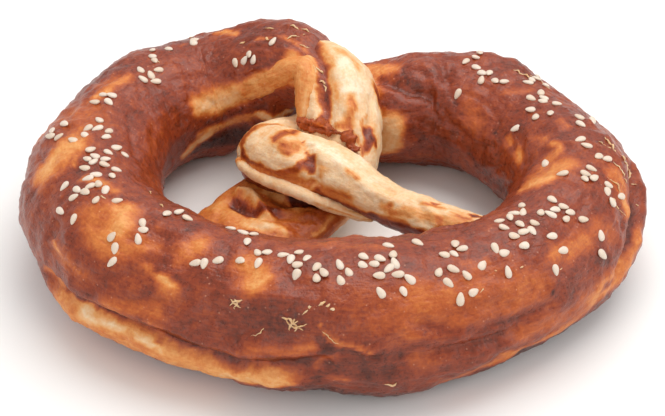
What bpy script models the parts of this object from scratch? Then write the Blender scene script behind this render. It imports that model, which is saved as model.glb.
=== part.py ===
"""A sesame pretzel, knotted from one rope: a thick ring, two arms that twist over each other, and two
flattened ends pressed on the ring's inner side. Millimetres in the values, metres in the model."""

import math
import random

import bpy
import numpy as np
from mathutils import Vector, noise

MM = 0.001

# The ring's centreline, read every RING_STEP degrees from the back left, round the front, to the back
# right. An angle is 0 at the front (-Y) and 90 at the right (+X). Each row is reach from the ring's centre,
# half thickness, and height of the centreline over the table.
RING_CENTRE = (0.1, -2.5)
RING_START = -150
RING_STEP = 30
RING = (
    (63.6, 15.4, 17.2),
    (65.2, 16.6, 16.2),
    (62.0, 17.8, 17.0),
    (54.9, 18.0, 16.6),
    (47.7, 17.8, 16.8),
    (46.7, 18.2, 17.3),
    (49.3, 18.0, 16.8),
    (56.0, 17.2, 16.3),
    (62.9, 17.6, 17.0),
    (60.0, 16.0, 15.4),
    (55.4, 15.8, 15.0),
)

# The rest of the rope. Each row is x and y from the ring's centre, height, half width, half thickness.
LEFT_TAIL = (
    (-1.5, 36.5, 26.8, 6.5, 6.5),
    (-8.0, 45.8, 28.4, 12.2, 12.0),
    (-18.0, 52.5, 23.2, 14.4, 14.0),
)
RIGHT_TAIL = (
    (15.5, 45.0, 14.6, 14.8, 14.4),
    (6.0, 42.5, 12.5, 11.5, 11.0),
    (-3.0, 35.5, 11.5, 6.5, 6.5),
)
LEFT_STRAND = (
    (-15.0, 49.0, 25.0, 8.0, 8.0),
    (-5.4, 44.0, 28.2, 9.4, 9.8),
    (0.6, 36.8, 27.6, 10.6, 10.0),
    (2.4, 28.0, 24.0, 10.6, 8.5),
    (2.0, 19.5, 17.5, 10.8, 7.5),
    (-5.2, 12.5, 11.0, 14.6, 6.5),
    (-13.0, 7.0, 9.0, 16.4, 6.0),
    (-20.2, -1.0, 8.0, 15.8, 5.5),
    (-25.0, -10.0, 8.0, 16.4, 5.5),
    (-28.0, -20.0, 9.0, 14.5, 5.2),
    (-31.0, -31.0, 10.5, 10.0, 5.0),
)
RIGHT_STRAND = (
    (12.0, 45.0, 13.5, 9.5, 9.5),
    (2.0, 39.0, 12.5, 9.5, 9.5),
    (-9.0, 29.5, 13.5, 9.0, 9.0),
    (-16.6, 20.0, 17.4, 8.8, 9.0),
    (-11.5, 12.0, 21.2, 8.8, 8.8),
    (0.0, 6.0, 22.2, 7.6, 7.6),
    (12.0, -3.2, 19.6, 5.8, 5.8),
    (24.5, -11.4, 19.0, 5.6, 5.6),
    (37.0, -17.4, 18.2, 5.8, 5.8),
    (46.0, -25.0, 17.0, 5.6, 5.6),
)
CURLED_EDGE = (
    (-23.0, 18.0, 12.5, 1.8, 1.8),
    (-18.0, 8.5, 12.0, 1.8, 1.8),
    (-8.0, 2.0, 13.6, 1.8, 1.8),
    (4.0, -4.5, 15.0, 1.8, 1.8),
    (15.0, -12.0, 15.3, 1.8, 1.8),
    (28.0, -19.5, 15.3, 1.8, 1.8),
)

# A curve has STATION_SAMPLES points to a station. Its bends are then spread, some millimetres either way.
STATION_SAMPLES = 24
RING_SPREAD = 12
STRAND_SPREAD = 3

# Facets: how many round each rope, and how long. A rope's direction is read over DIRECTION_STEP either way,
# and the first facet starts under the rope.
RING_SIDES = 28
RING_FACET = 5.0
STRAND_SIDES = 18
STRAND_FACET = 4.1
EDGE_SIDES = 6
EDGE_FACET = 5.0
DIRECTION_STEP = 0.5
LOWEST_TURN = -90

# Relief: swellings, hollows, folds and grooves. Each row is height, half width, and a course of one or more
# places. A place is an angle round the ring, or millimetres along a strand, with an angle round the rope.
ROPE_RADIUS = 17.0
STRAND_RADIUS = 9.0
RING_RELIEF = (
    (1.0, 9.0, ((-163, 66),)),
    (0.8, 9.0, ((-142, 66),)),
    (1.4, 9.0, ((-126, 55),)),
    (-0.7, 8.0, ((-106, 36),)),
    (-0.9, 9.0, ((-52, -24), (-40, -32))),
    (0.8, 8.0, ((-22, -38),)),
    (-0.8, 8.0, ((-4, -40),)),
    (0.7, 8.0, ((18, -38),)),
    (-1.1, 9.0, ((36, -37), (46, -36))),
    (1.0, 9.0, ((70, -22),)),
    (-1.9, 8.0, ((96, 36), (109, 48))),
    (3.0, 7.0, ((134, 62), (138, 62))),
    (2.0, 6.0, ((167, 58),)),
    (-1.2, 9.0, ((100, 205), (140, 222))),
    (2.8, 6.0, ((-164, 228), (-146, 228))),
    (1.8, 3.4, ((-72, -12), (-52, -12), (-36, -14), (-19, -16), (-8, -12))),
    (-1.4, 2.4, ((-62, -1), (-47, 8), (-34, 0), (-19, -2), (-4, 4))),
    (-1.3, 2.4, ((90, 44), (83, 28), (77, 14), (72, 6))),
    (0.8, 3.0, ((91, 30), (85, 12), (80, -4), (74, -14))),
    (-0.9, 2.6, ((14, 13), (31, 16), (48, 8))),
    (0.6, 3.0, ((20, 2), (36, 4), (52, -2))),
    (-1.2, 2.2, ((163, 98), (158, 122), (146, 134))),
)
LEFT_RELIEF = ((-1.8, 2.2, ((13, 78), (20, 68), (30, 66), (40, 70))),)
RIGHT_RELIEF = ((-1.2, 2.0, ((56, 60), (60, 40), (62, 15))),)
LUMP_SIZE = 22.0
RING_LUMPS = 1.6
STRAND_LUMPS = 1.0
EDGE_LUMPS = 0.6

# A sesame seed is a drop, with its outline in shares of its length and width, and it narrows to a flat
# top. It stands out of the crust and reaches into it.
SEED_SIZE = (3.3, 2.0)
SEED_OUTLINE = ((-0.5, 0), (-0.12, 0.4), (0.28, 0.46), (0.5, 0), (0.28, -0.46), (-0.12, -0.4))
SEED_TOP = 0.7
SEED_STANDS_OUT = 0.75
SEED_SUNK = 0.35
SMALLEST_SEED = 0.9
LARGEST_SEED = 1.1

# The seeds fell in clusters, no two closer than the gap. Each row is an angle round the ring, an angle
# round the rope, how many seeds, and how far they spread along the rope and round it.
SEED_GAP = 1.9
SEED_DRAW = 7
SEED_TRIES = 40
CLUSTERS = (
    (-163, 137, 4, 2.5, 2.0),
    (-168, 116, 1, 0.5, 0.5),
    (-146, 91, 2, 1.5, 1.5),
    (-136, 76, 2, 4.0, 1.5),
    (-131, 92, 3, 3.0, 3.0),
    (-125, 102, 4, 2.5, 2.5),
    (-114, 104, 1, 1.0, 2.0),
    (-110, 88, 3, 2.0, 2.0),
    (-99, 90, 3, 2.0, 2.5),
    (-98, 73, 5, 3.5, 4.0),
    (-96, 106, 2, 1.5, 2.5),
    (-91, 119, 3, 2.0, 1.5),
    (-84, 98, 6, 2.5, 2.5),
    (-81, 88, 3, 3.0, 1.2),
    (-78, 108, 2, 1.5, 2.5),
    (-77, 57, 3, 3.0, 2.0),
    (-74, 71, 5, 3.0, 2.2),
    (-71, 83, 4, 2.5, 1.5),
    (-59, 63, 1, 1.0, 1.0),
    (-56, 50, 2, 0.8, 0.8),
    (-55, 75, 3, 2.0, 1.5),
    (-52, 90, 1, 2.0, 2.0),
    (-52, 108, 2, 2.0, 1.0),
    (-36, 116, 3, 9.0, 1.0),
    (-34, 70, 3, 2.0, 1.0),
    (-22, 60, 2, 2.5, 3.0),
    (-21, 91, 3, 2.0, 1.5),
    (-12, 79, 5, 1.8, 3.0),
    (-4, 74, 4, 1.2, 4.0),
    (8, 71, 5, 2.5, 2.0),
    (12, 67, 4, 2.0, 3.0),
    (14, 81, 4, 2.0, 2.0),
    (18, 64, 2, 1.2, 1.5),
    (24, 103, 2, 3.0, 1.5),
    (29, 60, 7, 2.0, 2.5),
    (33, 82, 3, 2.5, 2.5),
    (41, 70, 4, 3.0, 2.0),
    (49, 72, 4, 3.0, 2.0),
    (50, 98, 2, 2.5, 3.0),
    (53, 38, 1, 0.5, 0.5),
    (56, 93, 5, 3.0, 3.5),
    (58, 57, 2, 1.5, 2.5),
    (65, 79, 8, 4.5, 2.5),
    (70, 54, 3, 3.0, 3.0),
    (78, 71, 6, 2.5, 3.0),
    (79, 48, 3, 1.5, 3.5),
    (86, 68, 2, 1.2, 2.0),
    (85, 120, 1, 0.5, 0.5),
    (91, 90, 2, 2.0, 2.0),
    (100, 80, 3, 3.0, 2.0),
    (108, 125, 2, 1.5, 3.0),
    (110, 100, 4, 2.5, 2.5),
    (116, 95, 3, 1.2, 2.0),
    (126, 85, 4, 2.5, 3.5),
    (124, 64, 3, 3.0, 1.5),
    (133, 108, 2, 1.0, 1.5),
    (137, 97, 2, 2.5, 1.0),
    (137, 130, 1, 0.5, 0.5),
    (140, 80, 3, 3.0, 3.5),
)

CRUST_COLOUR = (0.26, 0.075, 0.04, 1.0)
CRUST_ROUGHNESS = 0.42


def measured(curve):
    """The curve's rows with their distance along it put in front."""
    steps = np.linalg.norm(np.diff(curve[:, :3], axis=0), axis=1)
    return np.column_stack([np.concatenate([[0], np.cumsum(steps)]), curve])


def through(stations, spread):
    """A smooth curve by every station. Rows: distance along it, then the stations' own columns.

    Each bend is spread over that many millimetres on both sides of it.
    """
    rows = np.array(stations, float)
    spans = np.linalg.norm(np.diff(rows[:, :3], axis=0), axis=1)
    slopes = np.gradient(rows, np.concatenate([[0], np.cumsum(spans)]), axis=0)
    curve = []
    for start, stop, leaving, arriving, span in zip(rows, rows[1:], slopes, slopes[1:], spans):
        for t in np.arange(STATION_SAMPLES) / STATION_SAMPLES:
            curve.append(
                (1 + 2 * t) * (1 - t) ** 2 * start
                + t * (1 - t) ** 2 * span * leaving
                + t**2 * (3 - 2 * t) * stop
                + t**2 * (t - 1) * span * arriving
            )
    rope = measured(np.array(curve + [rows[-1]]))
    even = read(rope, np.arange(0, rope[-1, 0]))
    longer = np.pad(even, ((spread, spread), (0, 0)), mode="reflect", reflect_type="odd")
    shares = np.hanning(2 * spread + 3)[1:-1]
    shares /= shares.sum()
    return measured(np.stack([np.convolve(column, shares, "valid") for column in longer.T], axis=-1))


def ring_stations():
    """The ring with the two tails that dive into the twist, from the left tail round to the right tail."""
    rows = []
    for step, (reach, half, height) in enumerate(RING):
        angle = math.radians(RING_START + step * RING_STEP)
        rows.append((reach * math.sin(angle), -reach * math.cos(angle), height, half, half))
    return LEFT_TAIL + tuple(rows) + RIGHT_TAIL


def read(rope, along):
    """The rope's own columns at distances along it."""
    return np.stack([np.interp(along, rope[:, 0], column) for column in rope.T[1:]], axis=-1)


def unit(vectors):
    return vectors / np.linalg.norm(vectors, axis=-1, keepdims=True)


def skin(rope, along, turn):
    """Points of the smooth rope and their outward normals, from distances along it and angles round it. The
    angle is 0 on the ring's outside and 90 degrees on top."""
    row = read(rope, along)
    forward = (read(rope, along + DIRECTION_STEP) - read(rope, along - DIRECTION_STEP))[..., :3]
    side = unit(np.cross(forward, (0, 0, 1)))
    up = unit(np.cross(side, forward))
    out = np.cos(np.radians(turn))[..., None]
    high = np.sin(np.radians(turn))[..., None]
    half_width = row[..., 3:4]
    half_thickness = row[..., 4:5]
    points = row[..., :3] + side * out * half_width + up * high * half_thickness
    return points, unit(side * out / half_width + up * high / half_thickness)


def ring_spot(ring, angle, turned):
    """A place on the ring as millimetres on its unrolled skin."""
    angles = np.degrees(np.unwrap(np.arctan2(ring[:, 1], -ring[:, 2])))
    return np.array([np.interp(angle, angles, ring[:, 0]), math.radians(turned) * ROPE_RADIUS])


def strand_spot(_, along, turned):
    """A place on a strand as millimetres on its unrolled skin."""
    return np.array([along, math.radians(turned) * STRAND_RADIUS])


def off_course(spots, course):
    """How far spots on the unrolled skin are from a line through the course's places."""
    nearest = np.full(spots.shape[:-1], np.inf)
    for start, stop in zip(course, course[1:] or course):
        run = stop - start
        share = np.clip(((spots - start) @ run) / (run @ run or 1), 0, 1)[..., None]
        nearest = np.minimum(nearest, np.linalg.norm(spots - start - share * run, axis=-1))
    return nearest


def lumps(points):
    """Soft noise at points in millimetres, between about -0.5 and 0.5."""
    flat = [noise.noise(Vector(point) / LUMP_SIZE) for point in points.reshape(-1, 3)]
    return np.array(flat).reshape(points.shape[:-1])


def crust(rope, along, turn, finish):
    """The crust's points and normals, with relief and lumps, pressed flat where it stands on the table."""
    radius, to_spot, relief, lump_height = finish
    points, normals = skin(rope, along, turn)
    spots = np.stack([along, np.radians(turn) * radius], axis=-1)
    rise = lump_height * lumps(points)
    for height, half_width, course in relief:
        line = [to_spot(rope, *place) for place in course]
        rise = rise + height * np.exp(-((off_course(spots, line) / half_width) ** 2))
    points = points + normals * rise[..., None]
    points[..., 2] = np.maximum(points[..., 2], 0)
    return points, normals


RING_FINISH = (ROPE_RADIUS, ring_spot, RING_RELIEF, RING_LUMPS)
LEFT_FINISH = (STRAND_RADIUS, strand_spot, LEFT_RELIEF, STRAND_LUMPS)
RIGHT_FINISH = (STRAND_RADIUS, strand_spot, RIGHT_RELIEF, STRAND_LUMPS)
EDGE_FINISH = (STRAND_RADIUS, strand_spot, (), EDGE_LUMPS)


def add_solid(name, points, faces, collection):
    """One object from points in millimetres round the ring's centre."""
    place = np.array([*RING_CENTRE, 0])
    mesh = bpy.data.meshes.new(name)
    mesh.from_pydata(((points.reshape(-1, 3) + place) * MM).tolist(), [], faces)
    mesh.shade_smooth()
    obj = bpy.data.objects.new(name, mesh)
    collection.objects.link(obj)
    return obj


def tube_faces(rows, sides):
    """Quads between neighbouring sections, and a flat cap at each end."""
    faces = []
    for row in range(rows - 1):
        for side in range(sides):
            after = (side + 1) % sides
            near = row * sides
            far = near + sides
            faces.append((near + side, far + side, far + after, near + after))
    faces.append(tuple(range(sides)))
    faces.append(tuple(reversed(range((rows - 1) * sides, rows * sides))))
    return faces


def add_rope(name, rope, sides, facet, finish, collection):
    rows = round(rope[-1, 0] / facet) + 1
    along, turn = np.meshgrid(
        np.linspace(0, rope[-1, 0], rows), LOWEST_TURN + np.arange(sides) * 360 / sides, indexing="ij"
    )
    points, _ = crust(rope, along, turn, finish)
    return add_solid(name, points, tube_faces(rows, sides), collection)


def seed_spots(ring):
    """Where the seeds lie on the unrolled skin, cluster by cluster."""
    draw = random.Random(SEED_DRAW)
    spots = []
    for angle, turned, number, spread_along, spread_round in CLUSTERS:
        centre = ring_spot(ring, angle, turned)
        for _ in range(number):
            for _ in range(SEED_TRIES):
                spot = centre + (draw.gauss(0, spread_along), draw.gauss(0, spread_round))
                if all(np.linalg.norm(spot - other) > SEED_GAP for other in spots):
                    spots.append(spot)
                    break
    return spots


def seed_shape():
    """The seed's lower outline, sunk in the crust, and its narrower top one."""
    outline = np.array(SEED_OUTLINE) * SEED_SIZE
    low = np.column_stack([outline, np.full(len(outline), -SEED_SUNK)])
    high = np.column_stack([outline * SEED_TOP, np.full(len(outline), SEED_STANDS_OUT)])
    return np.stack([low, high])


def add_seeds(ring, collection):
    draw = random.Random(SEED_DRAW)
    shape = seed_shape()
    for spot in seed_spots(ring):
        turn = math.degrees(spot[1] / ROPE_RADIUS)
        point, normal = crust(ring, np.array(spot[0]), np.array(turn), RING_FINISH)
        heading = draw.uniform(0, math.tau)
        forward = unit(np.cross(normal, (math.cos(heading), math.sin(heading), 0)))
        length = draw.uniform(SMALLEST_SEED, LARGEST_SEED)
        width = draw.uniform(SMALLEST_SEED, LARGEST_SEED)
        axes = np.array([forward * length, np.cross(normal, forward) * width, normal])
        points = point + shape @ axes
        add_solid("seed", points, tube_faces(*shape.shape[:2]), collection)


def largest_shell(mesh):
    """Drops loose scraps and sealed hollows: only the biggest shell of the mesh stays."""
    owner = list(range(len(mesh.vertices)))

    def root(index):
        while owner[index] != index:
            owner[index] = owner[owner[index]]
            index = owner[index]
        return index

    for edge in mesh.edges:
        owner[root(edge.vertices[0])] = root(edge.vertices[1])
    shells = [root(index) for index in range(len(owner))]
    biggest = max(set(shells), key=shells.count)
    kept = [index for index, shell in enumerate(shells) if shell == biggest]
    renumbered = {index: place for place, index in enumerate(kept)}
    faces = [
        tuple(renumbered[index] for index in face.vertices)
        for face in mesh.polygons
        if shells[face.vertices[0]] == biggest
    ]
    whole = bpy.data.meshes.new(mesh.name)
    whole.from_pydata([mesh.vertices[index].co for index in kept], [], faces)
    whole.shade_smooth()
    return whole


def fuse(body, collection):
    """Joins the collection's solids to the body in one union, applies it and removes them."""
    union = body.modifiers.new("union", "BOOLEAN")
    union.operation = "UNION"
    union.operand_type = "COLLECTION"
    union.collection = collection
    union.solver = "MANIFOLD"
    evaluated = body.evaluated_get(bpy.context.evaluated_depsgraph_get())
    mesh = bpy.data.meshes.new_from_object(evaluated)
    body.modifiers.clear()
    body.data = largest_shell(mesh)
    for obj in list(collection.objects):
        bpy.data.objects.remove(obj)
    bpy.data.collections.remove(collection)


def crust_material():
    material = bpy.data.materials.new("crust")
    material.use_nodes = True
    shader = material.node_tree.nodes["Principled BSDF"]
    shader.inputs["Base Color"].default_value = CRUST_COLOUR
    shader.inputs["Roughness"].default_value = CRUST_ROUGHNESS
    shader.inputs["Metallic"].default_value = 0
    return material


def main():
    for obj in list(bpy.data.objects):
        bpy.data.objects.remove(obj)
    scene = bpy.context.scene.collection
    fused = bpy.data.collections.new("fused")
    scene.children.link(fused)
    ring = through(ring_stations(), RING_SPREAD)
    pretzel = add_rope("pretzel", ring, RING_SIDES, RING_FACET, RING_FINISH, scene)
    strands = (LEFT_STRAND, RIGHT_STRAND, CURLED_EDGE)
    left, right, edge = (through(stations, STRAND_SPREAD) for stations in strands)
    add_rope("left_strand", left, STRAND_SIDES, STRAND_FACET, LEFT_FINISH, fused)
    add_rope("right_strand", right, STRAND_SIDES, STRAND_FACET, RIGHT_FINISH, fused)
    add_rope("curled_edge", edge, EDGE_SIDES, EDGE_FACET, EDGE_FINISH, fused)
    add_seeds(ring, fused)
    fuse(pretzel, fused)
    pretzel.data.materials.append(crust_material())


if __name__ == "__main__":
    main()
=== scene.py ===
# %% [markdown]
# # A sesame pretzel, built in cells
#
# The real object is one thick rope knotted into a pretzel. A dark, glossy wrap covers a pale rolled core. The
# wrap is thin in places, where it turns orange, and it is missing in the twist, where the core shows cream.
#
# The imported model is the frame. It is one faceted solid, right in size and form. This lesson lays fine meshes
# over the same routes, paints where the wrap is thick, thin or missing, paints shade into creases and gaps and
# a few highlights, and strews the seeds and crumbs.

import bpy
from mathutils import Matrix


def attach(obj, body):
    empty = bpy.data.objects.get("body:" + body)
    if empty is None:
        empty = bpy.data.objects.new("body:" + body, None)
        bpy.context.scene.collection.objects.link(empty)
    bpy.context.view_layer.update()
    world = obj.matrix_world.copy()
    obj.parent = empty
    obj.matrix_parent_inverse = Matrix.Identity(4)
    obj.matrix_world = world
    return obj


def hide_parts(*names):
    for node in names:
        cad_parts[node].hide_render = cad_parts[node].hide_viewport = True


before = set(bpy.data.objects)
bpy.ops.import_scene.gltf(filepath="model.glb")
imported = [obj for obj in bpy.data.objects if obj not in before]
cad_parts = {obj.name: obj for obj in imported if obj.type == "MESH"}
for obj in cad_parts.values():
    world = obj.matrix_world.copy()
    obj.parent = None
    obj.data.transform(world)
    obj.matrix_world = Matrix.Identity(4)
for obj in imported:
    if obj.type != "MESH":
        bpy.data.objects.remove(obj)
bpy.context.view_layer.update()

# %% Tools and units
import math
import random

import bpy
import numpy as np
from mathutils import Vector, noise

MM = 0.001
NOISE_SEED = 1795891920
noise.seed_set(NOISE_SEED)  # without it, noise vectors differ from run to run


def in_mm(corner):
    return [round(value / MM, 1) for value in corner]


def put(name, data):
    """Makes an object of that data and puts it in the scene."""
    obj = bpy.data.objects.new(name, data)
    bpy.context.scene.collection.objects.link(obj)
    return obj


# %% [markdown]
# ## The camera
#
# Seeds at the back of the photo look a little smaller than seeds in front. That ratio puts the camera about
# half a metre away, and the ring's flattened oval gives the angle it looks down at. A long lens fits that
# distance. Moving the camera in closer with a short lens would make the front of the ring bulge.

# %% Place the camera
RING_CENTRE = (0.1, -2.5)
LOOK_AT = Vector((*RING_CENTRE, 15.0))
LOOK_DOWN = math.radians(36)
CAMERA_AWAY = 500.0
LENS = 105.2


def add_camera():
    back = Vector((0, -math.cos(LOOK_DOWN), math.sin(LOOK_DOWN)))
    data = bpy.data.cameras.new("camera")
    data.lens = LENS
    camera = put("camera", data)
    camera.location = (LOOK_AT + back * CAMERA_AWAY) * MM
    camera.rotation_euler = (math.pi / 2 - LOOK_DOWN, 0, 0)
    bpy.context.scene.camera = camera
    return camera


print("camera at", in_mm(add_camera().location))

# %% [markdown]
# ## Floor and light
#
# Food is shot under large soft boxes, so that gloss shows as broad, soft sheen and shadows have no hard edge.
# The main box hangs high, a little to the right and behind, so the top of the rope is bright and its front
# falls off. A weaker box in front keeps the dark wrap readable. Bare lamps could light it too, but they would
# leave small white dots on the gloss. Plain display colours keep the browns as they are.

# %% Colours are written as they look on a screen
def seen(red, green, blue):
    """A colour as seen on a screen, 0 to 255, as the linear values of materials and lights.

    The numbers are those of the sRGB curve.
    """
    shares = [value / 255 for value in (red, green, blue)]
    return (*[s / 12.92 if s <= 0.04045 else ((s + 0.055) / 1.055) ** 2.4 for s in shares], 1.0)


# %% Small helpers for materials
def new_material(name):
    """A material, its tree of nodes and its shader."""
    material = bpy.data.materials.new(name)
    material.use_nodes = True
    return material, material.node_tree, material.node_tree.nodes["Principled BSDF"]


def feed(tree, target, inputs):
    """Gives each named input a plain number or colour, or joins another node's output to it."""
    for name, source in inputs.items():
        if isinstance(source, bpy.types.NodeSocket):
            tree.links.new(source, target.inputs[name])
        else:
            target.inputs[name].default_value = source


def add_node(tree, kind, inputs, **settings):
    made = tree.nodes.new(kind)
    for name, value in settings.items():
        setattr(made, name, value)
    feed(tree, made, inputs)
    return made


# %% Lay the floor
FLOOR_HALF = 3000
FLOOR_LOOK = {"Base Color": seen(246, 246, 245), "Roughness": 0.9}


def add_floor():
    h = FLOOR_HALF * MM
    mesh = bpy.data.meshes.new("floor")
    mesh.from_pydata([(-h, -h, 0), (h, -h, 0), (h, h, 0), (-h, h, 0)], [], [(0, 1, 2, 3)])
    floor = put("floor", mesh)
    matt, tree, shader = new_material("matt_board")
    feed(tree, shader, FLOOR_LOOK)
    mesh.materials.append(matt)


add_floor()
print("the floor is", 2 * FLOOR_HALF, "mm wide")

# %% Hang the soft boxes: place, size, power and colour
SOFT_BOXES = (
    ("top_box", (120, 180, 620), (620, 520), 2.9, seen(255, 252, 248)),
    ("front_box", (-260, -620, 420), (500, 400), 0.9, seen(255, 250, 245)),
    ("side_box", (620, -120, 300), (400, 300), 0.7, seen(255, 255, 255)),
)
ROOM_LIGHT = {"Color": (1, 1, 1, 1), "Strength": 0.72}


def add_soft_box(name, place, size, power, colour):
    data = bpy.data.lights.new(name, "AREA")
    data.shape = "RECTANGLE"
    data.size, data.size_y = size[0] * MM, size[1] * MM
    data.energy = power
    data.color = colour[:3]
    box = put(name, data)
    box.location = Vector(place) * MM
    box.rotation_euler = (LOOK_AT - Vector(place)).to_track_quat("-Z", "Y").to_euler()


for row in SOFT_BOXES:
    add_soft_box(*row)
world = bpy.data.worlds.new("studio")
world.use_nodes = True
feed(world.node_tree, world.node_tree.nodes["Background"], ROOM_LIGHT)
bpy.context.scene.world = world
bpy.context.scene.view_settings.view_transform = "Standard"
print("lit by", len(SOFT_BOXES), "soft boxes and the room")

# %% [markdown]
# ## The rope's route
#
# A pretzel is rolled out as one rope and knotted. Each stretch is a list of stations: where its middle is and
# how thick it is there. A smooth curve through them could be a Blender curve with a bevel, but then the
# skin's points couldn't be moved by listed folds. So the skin is worked out here, point by point.

# %% Stations of the ring: distance from its centre, half thickness and height, at every 30 degrees
RING_START = -150
RING_STEP = 30
RING = (
    (63.6, 15.4, 17.2),
    (65.2, 16.6, 16.2),
    (62, 17.8, 17),
    (54.9, 18, 16.6),
    (47.7, 17.8, 16.8),
    (46.7, 18.2, 17.3),
    (49.3, 18, 16.8),
    (56, 17.2, 16.3),
    (62.9, 17.6, 17),
    (60, 16, 15.4),
    (55.4, 15.8, 15),
)

# %% All other stations: x, y, height, half width and half thickness
LEFT_TAIL = (
    (-1.5, 36.5, 26.8, 6.5, 6.5),
    (-8, 45.8, 28.4, 12.2, 12),
    (-18, 52.5, 23.2, 14.4, 14),
)
RIGHT_TAIL = (
    (15.5, 45, 14.6, 14.8, 14.4),
    (6, 42.5, 12.5, 11.5, 11),
    (-3, 35.5, 11.5, 6.5, 6.5),
)
LEFT_STRAND = (
    (-15, 49, 25, 8, 8),
    (-5.4, 44, 28.2, 9.4, 9.8),
    (0.6, 36.8, 27.6, 10.6, 10),
    (2.4, 28, 24, 10.6, 8.5),
    (2, 19.5, 17.5, 10.8, 7.5),
    (-5.2, 12.5, 11, 14.6, 6.5),
    (-13, 7, 9, 16.4, 6),
    (-20.2, -1, 8, 15.8, 5.5),
    (-25, -10, 8, 16.4, 5.5),
    (-28, -20, 9, 14.5, 5.2),
    (-31, -31, 10.5, 10, 5),
)
RIGHT_STRAND = (
    (12, 45, 13.5, 9.5, 9.5),
    (2, 39, 12.5, 9.5, 9.5),
    (-9, 29.5, 13.5, 9, 9),
    (-16.6, 20, 17.4, 8.8, 9),
    (-11.5, 12, 21.2, 8.8, 8.8),
    (0, 6, 22.2, 7.6, 7.6),
    (12, -3.2, 19.6, 5.8, 5.8),
    (24.5, -11.4, 19, 5.6, 5.6),
    (37, -17.4, 18.2, 5.8, 5.8),
    (46, -25, 17, 5.6, 5.6),
)
CURLED_EDGE = (
    (-24.6, 16.5, 18.4, 0.9, 0.9),
    (-23.4, 13.2, 19, 1.3, 1.3),
    (-21, 9.4, 19.4, 1.4, 1.4),
    (-17, 5, 20, 1.4, 1.4),
    (-12, 1.3, 20.6, 1.5, 1.4),
    (-8, -0.8, 20, 1.6, 1.4),
    (-4.5, -1.5, 18.6, 1.7, 1.4),
    (-0.5, -1.4, 17, 1.8, 1.4),
    (4.5, -3.4, 16.2, 1.8, 1.4),
    (8.3, -5.2, 15.8, 1.4, 1.2),
    (11, -6.2, 16.4, 0.7, 0.7),
)
BAND_FOLD = (
    (-36, 44, 18.5, 1.6, 1.6),
    (-30.1, 43.2, 21.2, 3, 3),
    (-25.7, 42.4, 23.2, 3.5, 3.5),
    (-21, 41.5, 25.5, 3.6, 3.6),
    (-17.4, 40.4, 28.1, 3.7, 3.7),
    (-14.1, 39.4, 30.5, 3.7, 3.7),
    (-11.1, 38.8, 32.6, 3.6, 3.6),
    (-8.4, 38, 33.9, 3.4, 3.4),
    (-6.9, 36, 33.6, 3.2, 3.2),
    (-6.5, 33.5, 31.6, 3.1, 3.1),
    (-6.7, 31, 29, 3, 3),
    (-7, 28.4, 26.2, 2.8, 2.8),
    (-7.2, 25.4, 23.4, 2, 2),
)
TORN_EDGE = (
    (-9.4, 25.2, 24.6, 0.9, 0.9),
    (-7.6, 23.4, 25.8, 1.4, 1.5),
    (-5.6, 21.4, 26.4, 1.5, 1.6),
    (-3.4, 20.2, 26.6, 1.4, 1.4),
    (-1.2, 19.6, 26.4, 1.2, 1.2),
    (1, 18.4, 26.2, 1, 1),
    (3.2, 16.4, 25.8, 1.5, 1.5),
    (5, 14.4, 24.4, 1.2, 1.2),
    (6, 13, 22.8, 0.7, 0.7),
)

# %% Read a rope at any distance along it
def measured(curve):
    """The curve's rows with their distance along it put in front."""
    steps = np.linalg.norm(np.diff(curve[:, :3], axis=0), axis=1)
    return np.column_stack([np.concatenate([[0], np.cumsum(steps)]), curve])


def read(rope, along):
    return np.stack([np.interp(along, rope[:, 0], column) for column in rope.T[1:]], axis=-1)


# %% Bend a smooth rope through stations
STATION_SAMPLES = 24
RING_SPREAD, STRAND_SPREAD, FOLD_SPREAD, TORN_SPREAD = 12, 3, 2, 1


def rope_through(stations, spread):
    """Rows along a smooth curve: distance, then x, y, z, half width and half thickness, all in millimetres.

    Each bend is spread over that many millimetres on both sides of it, as a real rope spreads it.
    """
    rows = np.array(stations, float)
    spans = np.linalg.norm(np.diff(rows[:, :3], axis=0), axis=1)
    slopes = np.gradient(rows, np.concatenate([[0], np.cumsum(spans)]), axis=0)
    curve = []
    for start, stop, leaving, arriving, span in zip(rows, rows[1:], slopes, slopes[1:], spans):
        for t in np.arange(STATION_SAMPLES) / STATION_SAMPLES:
            curve.append(
                (1 + 2 * t) * (1 - t) ** 2 * start
                + t * (1 - t) ** 2 * span * leaving
                + t**2 * (3 - 2 * t) * stop
                + t**2 * (t - 1) * span * arriving
            )
    rope = measured(np.array(curve + [rows[-1]]))
    even = read(rope, np.arange(0, rope[-1, 0]))
    longer = np.pad(even, ((spread, spread), (0, 0)), mode="reflect", reflect_type="odd")
    shares = np.hanning(2 * spread + 3)[1:-1]
    shares /= shares.sum()
    return measured(np.stack([np.convolve(column, shares, "valid") for column in longer.T], axis=-1))


def ring_stations():
    rows = []
    for step, (reach, half, height) in enumerate(RING):
        angle = math.radians(RING_START + step * RING_STEP)
        rows.append((reach * math.sin(angle), -reach * math.cos(angle), height, half, half))
    return LEFT_TAIL + tuple(rows) + RIGHT_TAIL


ring_rope = rope_through(ring_stations(), RING_SPREAD)
left_rope = rope_through(LEFT_STRAND, STRAND_SPREAD)
right_rope = rope_through(RIGHT_STRAND, STRAND_SPREAD)
edge_rope = rope_through(CURLED_EDGE, STRAND_SPREAD)
fold_rope = rope_through(BAND_FOLD, FOLD_SPREAD)
torn_rope = rope_through(TORN_EDGE, TORN_SPREAD)
for word, rope in (
    ("ring", ring_rope),
    ("left strand", left_rope),
    ("right strand", right_rope),
    ("curled edge", edge_rope),
    ("fold", fold_rope),
    ("torn edge", torn_rope),
):
    print("the", word, "is", round(rope[-1, 0]), "mm of rope")

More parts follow.
